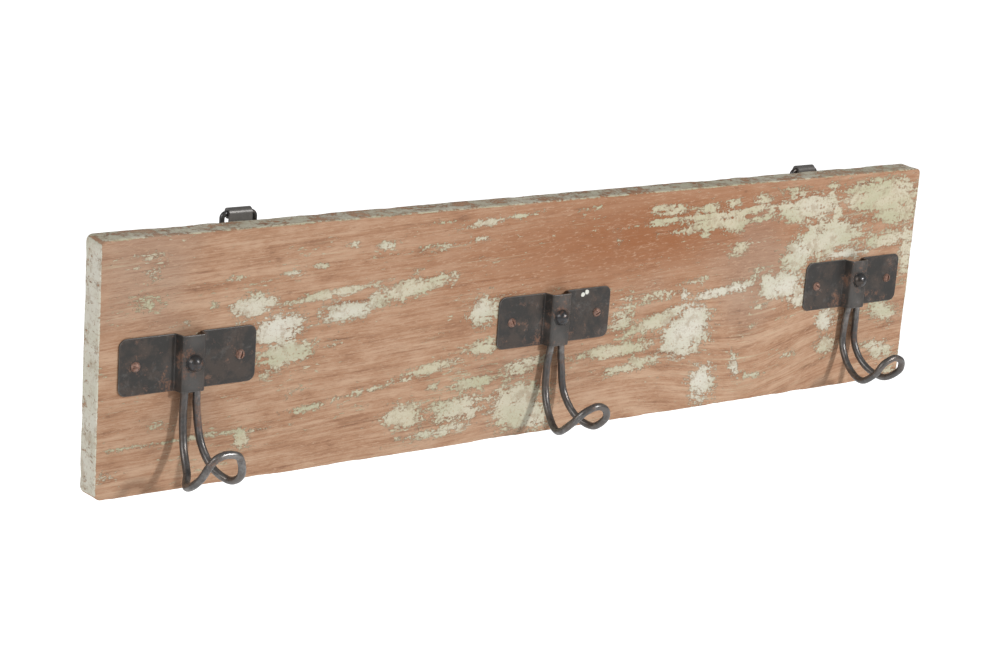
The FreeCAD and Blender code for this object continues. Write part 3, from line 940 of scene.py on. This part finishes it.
@dataclass
class HookPlate:
    """Sheet steel plate with a pressed channel, worn round at its edges."""

    side: Side
    width: float = 90.0 * MM
    height: float = 34.5 * MM
    sheet: float = 1.2 * MM
    corner: float = 5.0 * MM
    foot_half: float = 8.62 * MM
    front_half: float = 6.80 * MM
    rise: float = 7.1 * MM
    bend: float = 1.5 * MM
    board_front: float = -18.0 * MM

    def _section(self) -> list[tuple[Vector, Vector]]:
        """Middle line of the sheet across the plate, with its outward normals.

        Returns:
            Pairs of point (x, distance out) and normal, from left to right.
        """
        corners = [Vector((self.width / 2, self.sheet / 2)),
                   Vector((self.foot_half, self.sheet / 2)),
                   Vector((self.front_half, self.sheet / 2 + self.rise)),
                   Vector((0.0, self.sheet / 2 + self.rise))]
        half = [corners[0]]
        for before, at, after in zip(corners, corners[1:], corners[2:]):
            back, on = (before - at).normalized(), (after - at).normalized()
            opening = back.angle(on) / 2
            trim = self.bend / math.tan(opening)
            start, end = at + back * trim, at + on * trim
            for step in range(9):
                t = step / 8
                half.append(start * (1 - t) ** 2 + at * (2 * t * (1 - t)) + end * t ** 2)
        half.append(corners[3])
        dense = [half[0]]
        for point in half[1:]:
            gap = (point - dense[-1]).length
            origin = dense[-1].copy()
            for step in range(1, max(1, round(gap / (1.1 * MM))) + 1):
                dense.append(origin.lerp(point, step / max(1, round(gap / (1.1 * MM)))))
        edge = [0.0, 0.1 * MM, 0.25 * MM, 0.45 * MM, 0.7 * MM]
        tail = [Vector((self.width / 2 - e, self.sheet / 2)) for e in edge]
        right = tail + [p for p in dense if p.x < self.width / 2 - 0.9 * MM]
        full = [Vector((-p.x, p.y)) for p in right] + [p for p in reversed(right[:-1])]
        pairs = []
        for i, point in enumerate(full):
            run = full[min(i + 1, len(full) - 1)] - full[max(i - 1, 0)]
            pairs.append((point, Vector((-run.y, run.x)).normalized()))
        return pairs

    def _rows(self) -> list[float]:
        """Heights of the grid rows, closer together at the top and bottom."""
        edge = [0.0, 0.1, 0.25, 0.45, 0.7]
        half = self.height / 2 / MM
        inner = [-half + 1.2 + (2 * half - 2.4) * i / 26 for i in range(27)]
        rows = [-half + e for e in edge] + inner + [half - e for e in reversed(edge)]
        return [row * MM for row in rows]

    def build(self, material: bpy.types.Material) -> bpy.types.Object:
        """Presses the plate.

        Args:
            material: its finish.

        Returns:
            The plate.
        """
        node = "hook_plate_" + self.side.value
        middle = centre(node)
        section, rows = self._section(), self._rows()
        limit_x, limit_z = self.width / 2 - self.corner, self.height / 2 - self.corner
        shape = bmesh.new()
        grids = []
        for face in (1.0, -1.0):
            grid = []
            for z in rows:
                row = []
                for point, normal in section:
                    x, pz = point.x, z
                    inset = min(self.width / 2 - abs(x), self.height / 2 - abs(z))
                    over_x, over_z = abs(x) - limit_x, abs(z) - limit_z
                    if over_x > 0 and over_z > 0:
                        scale = max(over_x, over_z) / math.hypot(over_x, over_z)
                        x = math.copysign(limit_x + over_x * scale, x)
                        pz = math.copysign(limit_z + over_z * scale, z)
                    round_off = 0.5 * MM
                    half = self.sheet / 2
                    if inset < round_off:
                        chord = max(0.0, round_off ** 2 - (round_off - inset) ** 2)
                        drop = round_off - math.sqrt(chord)
                        half -= drop
                    place = Vector((middle.x + x, self.board_front, middle.z + pz))
                    wave = 0.06 * shaken(place, 90.0, 2.0) * MM if face > 0 else 0.0
                    side = normal * (half * face)
                    place.x += side.x
                    place.y -= point.y + side.y + wave
                    row.append(shape.verts.new(place))
                grid.append(row)
            grids.append(grid)
        for grid in grids:
            for low, high in zip(grid, grid[1:]):
                for i in range(len(low) - 1):
                    shape.faces.new((low[i], low[i + 1], high[i + 1], high[i]))
        rims = []
        for grid in grids:
            sides = [row[-1] for row in grid[1:-1]], [row[0] for row in reversed(grid[1:-1])]
            rims.append(list(grid[0]) + sides[0] + list(reversed(grid[-1])) + sides[1])
        count = len(rims[0])
        for i in range(count):
            j = (i + 1) % count
            shape.faces.new((rims[0][i], rims[0][j], rims[1][j], rims[1][i]))
        piece = new_piece("pressed_plate_" + self.side.value, shape, "rack",
                          material)
        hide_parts(node)
        return piece


def turned_solid(outline: Sequence[tuple[float, float]], seat: Vector, outward: float,
                 facets: int = 56) -> bmesh.types.BMesh:
    """Solid turned about the line through a seat, square to the board.

    Args:
        outline: radius and distance out for each ring, from one end to the other.
        seat: the middle of the head's underside.
        outward: -1 when the head faces the front, +1 when it faces the wall.
        facets: rings' sides.

    Returns:
        The geometry.
    """
    shape = bmesh.new()
    rings = []
    for radius, out in outline:
        if radius < 1e-7:
            rings.append([shape.verts.new((seat.x, seat.y + outward * out, seat.z))])
            continue
        rings.append([shape.verts.new((seat.x + radius * math.cos(2 * math.pi * i / facets),
                                       seat.y + outward * out,
                                       seat.z + radius * math.sin(2 * math.pi * i / facets)))
                      for i in range(facets)])
    for first, second in zip(rings, rings[1:]):
        for i in range(facets):
            j = (i + 1) % facets
            loop = [first[i % len(first)], first[j % len(first)],
                    second[j % len(second)], second[i % len(second)]]
            corners = list(dict.fromkeys(loop))
            if len(corners) > 2:
                shape.faces.new(corners)
    return shape


def dome_outline(radius: float, height: float, steps: int = 14) -> list[tuple[float, float]]:
    """Rings of a round head from its rim to its crown.

    Args:
        radius: of the rim.
        height: of the crown.
        steps: rings between them.

    Returns:
        Radius and height pairs.
    """
    ball = (radius ** 2 + height ** 2) / (2 * height)
    widest = math.asin(min(1.0, radius / ball))
    if height > ball:
        widest = math.pi - widest
    return [(ball * math.sin(widest * (1 - i / steps)),
             height - ball + ball * math.cos(widest * (1 - i / steps))) for i in range(steps + 1)]


@dataclass
class RivetHead:
    """Domed rivet, its head dressed by hammer, with its shank and peened tail."""

    side: Side
    shank: float = 1.4 * MM
    tail: float = 2.2 * MM
    tail_height: float = 0.8 * MM
    head_height: float = 5.0 * MM

    def build(self, material: bpy.types.Material) -> bpy.types.Object:
        """Makes the rivet.

        Args:
            material: its finish.

        Returns:
            The rivet.
        """
        node = "hook_rivet_" + self.side.value
        low, high = (Vector(corner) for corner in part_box(node))
        radius, height = (high.x - low.x) / 2, self.head_height
        seat = Vector(((low.x + high.x) / 2, low.y + height, (low.z + high.z) / 2))
        end = seat.y - high.y
        outline = [(0.0, end), (self.tail, end), (self.tail, end + self.tail_height),
                   (self.shank, end + self.tail_height), (self.shank, 0.0),
                    (radius - 0.2 * MM, 0.0)]
        outline += [(r, h) for r, h in dome_outline(radius, height)]
        shape = turned_solid(outline, seat, -1.0)
        for vertex in shape.verts:
            if vertex.co.y < seat.y - 0.3 * MM:
                out = (vertex.co - seat).normalized()
                vertex.co -= out * (0.10 + 0.10 * shaken(vertex.co, 420.0, 5.0)) * MM
        piece = new_piece("domed_rivet_" + self.side.value, shape, "rack", material)
        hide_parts(node)
        return piece


@dataclass
class SlottedScrew:
    """Round-head screw with a worn slot."""

    node: str
    slot_name: str
    slot_angle: float
    outward: float = -1.0
    head_height: float = 2.3 * MM
    slot_width: float = 1.2 * MM
    slot_depth: float = 1.3 * MM
    shank: float = 1.5 * MM

    def _cut_slot(self, piece: bpy.types.Object, seat: Vector, radius: float) -> None:
        """Cuts the slot and softens every edge.

        Args:
            piece: the uncut screw.
            seat: the middle of the head's underside.
            radius: of the head.
        """
        cutter_shape = bmesh.new()
        bmesh.ops.create_cube(cutter_shape, size=1.0)
        lift = self.head_height - self.slot_depth / 2 + 0.5 * MM
        middle = seat + Vector((0, self.outward * lift, 0))
        turn = Matrix.Rotation(math.radians(self.slot_angle), 4, "Y")
        size = Matrix.Diagonal((radius * 2.4, self.slot_depth + 1.0 * MM, self.slot_width, 1.0))
        bmesh.ops.transform(cutter_shape, matrix=Matrix.Translation(middle) @ turn @ size,
                            verts=cutter_shape.verts)
        cutter_mesh = bpy.data.meshes.new("slot_cutter")
        cutter_shape.to_mesh(cutter_mesh)
        cutter_shape.free()
        cutter = bpy.data.objects.new("slot_cutter", cutter_mesh)
        bpy.context.scene.collection.objects.link(cutter)
        cut = piece.modifiers.new("slot", "BOOLEAN")
        cut.operation, cut.object, cut.solver = "DIFFERENCE", cutter, "EXACT"
        soften = piece.modifiers.new("soften", "BEVEL")
        soften.width, soften.segments = 0.14 * MM, 3
        soften.limit_method, soften.angle_limit = "ANGLE", math.radians(38)
        shown = piece.evaluated_get(bpy.context.evaluated_depsgraph_get())
        cut_mesh = bpy.data.meshes.new_from_object(shown)
        piece.modifiers.clear()
        piece.data = cut_mesh
        bpy.data.objects.remove(cutter)

    def build(self, material: bpy.types.Material) -> bpy.types.Object:
        """Makes the screw.

        Args:
            material: its finish.

        Returns:
            The screw.
        """
        low, high = (Vector(corner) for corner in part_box(self.node))
        radius = (high.x - low.x) / 2
        head_end = low.y if self.outward < 0 else high.y
        point_end = high.y if self.outward < 0 else low.y
        seat = Vector(((low.x + high.x) / 2, head_end - self.outward * self.head_height,
                       (low.z + high.z) / 2))
        depth = -abs(point_end - seat.y)
        outline = [(0.0, depth), (0.3 * MM, depth), (self.shank, depth + 3 * MM), (self.shank, 0.0),
                   (radius - 0.1 * MM, 0.0)]
        outline += dome_outline(radius - 0.02 * MM, self.head_height)
        shape = turned_solid(outline, seat, self.outward, 48)
        piece = new_piece(self.node.replace("_screw", "_slotted_screw"), shape, "rack",
                          material)
        self._cut_slot(piece, seat, radius)
        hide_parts(self.node)
        return piece


@dataclass
class HookUnit:
    """One plate with its wire hook, rivet, washer and two screws."""

    side: Side

    def build(self) -> None:
        """Dresses the unit's pieces."""
        name = self.side.value
        plate = "hook_plate_" + name
        middle = centre(plate)
        low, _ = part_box(plate)
        front = low[1]
        spots = [(middle.x - 8 * MM, front + 4 * MM, middle.z + 3 * MM, 5 * MM),
                 (middle.x - 1 * MM, front, middle.z + 7 * MM, 6 * MM),
                 (middle.x - 13 * MM, front + 7 * MM, middle.z - 14 * MM, 6 * MM),
                 (middle.x + 14 * MM, front + 7 * MM, middle.z - 12 * MM, 5 * MM)]
        # Painted sheen and painted light: grey spots on the channel's front near its top and bottom
        # and on its lit left wall.
        sheen_places = ((middle.x, front, middle.z - 13 * MM, 7 * MM),
                (middle.x, front, middle.z + 14 * MM, 6 * MM),
                (middle.x - 8 * MM, front + 4 * MM, middle.z - 4 * MM, 8 * MM))
        paint = ()
        if self.side is Side.MIDDLE:
            paint = ((middle.x + 22 * MM, front + 7 * MM, middle.z + 13.2 * MM, 2.2 * MM),
                     (middle.x + 25 * MM, front + 7 * MM, middle.z + 14.6 * MM, 2.2 * MM))
        sheet = BlackenedSteel("black_plate_" + name, rust_spots=tuple(spots), paint_spots=paint,
                               painted_sheen_spots=sheen_places, rusting=0.45)
        HookPlate(self.side).build(sheet.make())
        bend = centre("wire_hook_" + name)
        rust = ((middle.x + 6 * MM, front, middle.z - 30 * MM, 14 * MM),
                (bend.x, bend.y - 18 * MM, bend.z - 14 * MM, 9 * MM))
        wire = BlackenedSteel("oiled_wire_" + name, black=(0.070, 0.066, 0.064),
                              brown=(0.095, 0.078, 0.068), grey=(0.210, 0.203, 0.196),
                              wear=0.75, metal=0.62, gloss=0.36,
                              rusting=0.25, rust_spots=rust)
        WireHook(self.side).build(wire.make())
        head = BlackenedSteel("rivet_head_" + name, black=(0.040, 0.042, 0.046),
                              grey=(0.140, 0.142, 0.146), metal=0.6, gloss=0.30, rusting=0.45)
        RivetHead(self.side).build(head.make())
        dress("rivet_washer_" + name, head.make())
        screw = RustyScrew("rusty_screw_" + name).make()
        for which, angle in zip("ab", SLOT_ANGLES[self.side]):
            SlottedScrew("plate_screw_%s_%s" % (name, which), "screw_rust", angle).build(screw)
        LOG.info("hook unit %s dressed", name)


@dataclass
class HangerUnit:
    """One strap hanger with its ring and two screws."""

    side: Side

    def build(self) -> None:
        """Dresses the hanger's pieces."""
        name = self.side.value
        strap = BlackenedSteel("hanger_strap_" + name + "_steel", rusting=0.4)
        dress("hanger_strap_" + name, strap.make())
        ring = BlackenedSteel("hanger_ring_" + name + "_wire", black=(0.05, 0.05, 0.05),
                              grey=(0.15, 0.15, 0.15), metal=0.6, gloss=0.35)
        dress("hanger_ring_" + name, ring.make())
        screw = RustyScrew("hanger_screw_" + name, bright=(0.26, 0.20, 0.17)).make()
        for which, angle in (("upper", 90.0), ("lower", 115.5)):
            node = "hanger_screw_%s_%s" % (name, which)
            SlottedScrew(node, "hanger_screw", angle, outward=1.0).build(screw)
        LOG.info("hanger %s dressed", name)


# --------------------------------------------------------------------------------- studio


@dataclass
class Studio:
    """Pale floor, soft light and the camera."""

    floor_drop: float = 0.42
    lens: float = 86.37
    camera_place: tuple[float, float, float] = (-0.930664, -1.186011, 0.403376)
    turn: float = math.radians(37.282)
    tilt: float = math.radians(15.554)
    roll: float = math.radians(4.3155)
    world_strength: float = 0.30
    key_power: float = 46.0
    floor_glow: float = 0.85
    floor_bounce: float = 0.40
    side_share: float = 0.65

    def _floor(self) -> None:
        """Adds the pale floor."""
        shape = bmesh.new()
        bmesh.ops.create_grid(shape, x_segments=8, y_segments=8, size=12.0)
        mesh = bpy.data.meshes.new("studio_floor")
        shape.to_mesh(mesh)
        shape.free()
        floor = bpy.data.objects.new("studio_floor", mesh)
        floor.location.z = -self.floor_drop
        bpy.context.scene.collection.objects.link(floor)
        recipe = Recipe("pale_floor")
        haze = recipe.cloud(recipe.place, 1.5, 2.0)
        colour = recipe.mix(haze, (0.90, 0.90, 0.90), (0.93, 0.93, 0.93))
        # The sheet looks white to the camera and lights the rack less than that.
        seen = recipe.add("ShaderNodeLightPath", {}, {}, "Is Camera Ray")
        bounce = (self.floor_bounce,) * 3
        mesh.materials.append(recipe.finish(Base_Color=colour, Roughness=0.9,
                                            Specular_IOR_Level=0.1,
                                            Emission_Color=recipe.mix(seen, bounce, colour),
                                            Emission_Strength=self.floor_glow))

    def _light(self, name: str, place: tuple[float, float, float], size: float,
               power: float) -> None:
        """Adds a square soft light aimed at the board.

        Args:
            name: the light's name.
            place: where it stands.
            size: its side.
            power: its power in watts.
        """
        lamp = bpy.data.lights.new(name, "AREA")
        lamp.size = size
        lamp.energy = power
        light = bpy.data.objects.new(name, lamp)
        light.location = place
        light.rotation_euler = (-Vector(place)).to_track_quat("-Z", "Y").to_euler()
        bpy.context.scene.collection.objects.link(light)

    def _camera(self) -> None:
        """Adds the camera at its measured place and turn."""
        ct, st = math.cos(self.turn), math.sin(self.turn)
        cp, sp = math.cos(self.tilt), math.sin(self.tilt)
        ahead = Vector((st * cp, ct * cp, -sp))
        level = Vector((ct, -st, 0.0))
        upright = level.cross(ahead)
        cr, sr = math.cos(self.roll), math.sin(self.roll)
        right = level * cr + upright * sr
        above = upright * cr - level * sr
        data = bpy.data.cameras.new("camera")
        data.lens, data.sensor_width = self.lens, 36.0
        camera = bpy.data.objects.new("camera", data)
        turn = Matrix((right, above, -ahead)).transposed().to_4x4()
        camera.matrix_world = Matrix.Translation(self.camera_place) @ turn
        bpy.context.scene.collection.objects.link(camera)
        bpy.context.scene.camera = camera

    def build(self) -> None:
        """Sets up the whole studio."""
        self._floor()
        self._light("key_light", (0.95, -2.0, 1.1), 0.24, self.key_power)
        self._light("side_light", (-2.4, -0.3, 1.2), 1.2, self.key_power * self.side_share)
        world = bpy.data.worlds.new("soft_room")
        world.use_nodes = True
        back = world.node_tree.nodes["Background"]
        back.inputs["Color"].default_value = (1.0, 1.0, 1.0, 1.0)
        back.inputs["Strength"].default_value = self.world_strength
        bpy.context.scene.world = world
        bpy.context.scene.view_settings.view_transform = "Standard"
        self._camera()


def main() -> None:
    """Builds the rack and its studio."""
    logging.basicConfig(level=logging.INFO)
    plank = Plank().build()
    LOG.info("plank built: %d faces", len(plank.data.polygons))
    for side in Side:
        HookUnit(side).build()
    for side in (Side.LEFT, Side.RIGHT):
        HangerUnit(side).build()
    Studio().build()


if __name__ == "__main__":
    main()
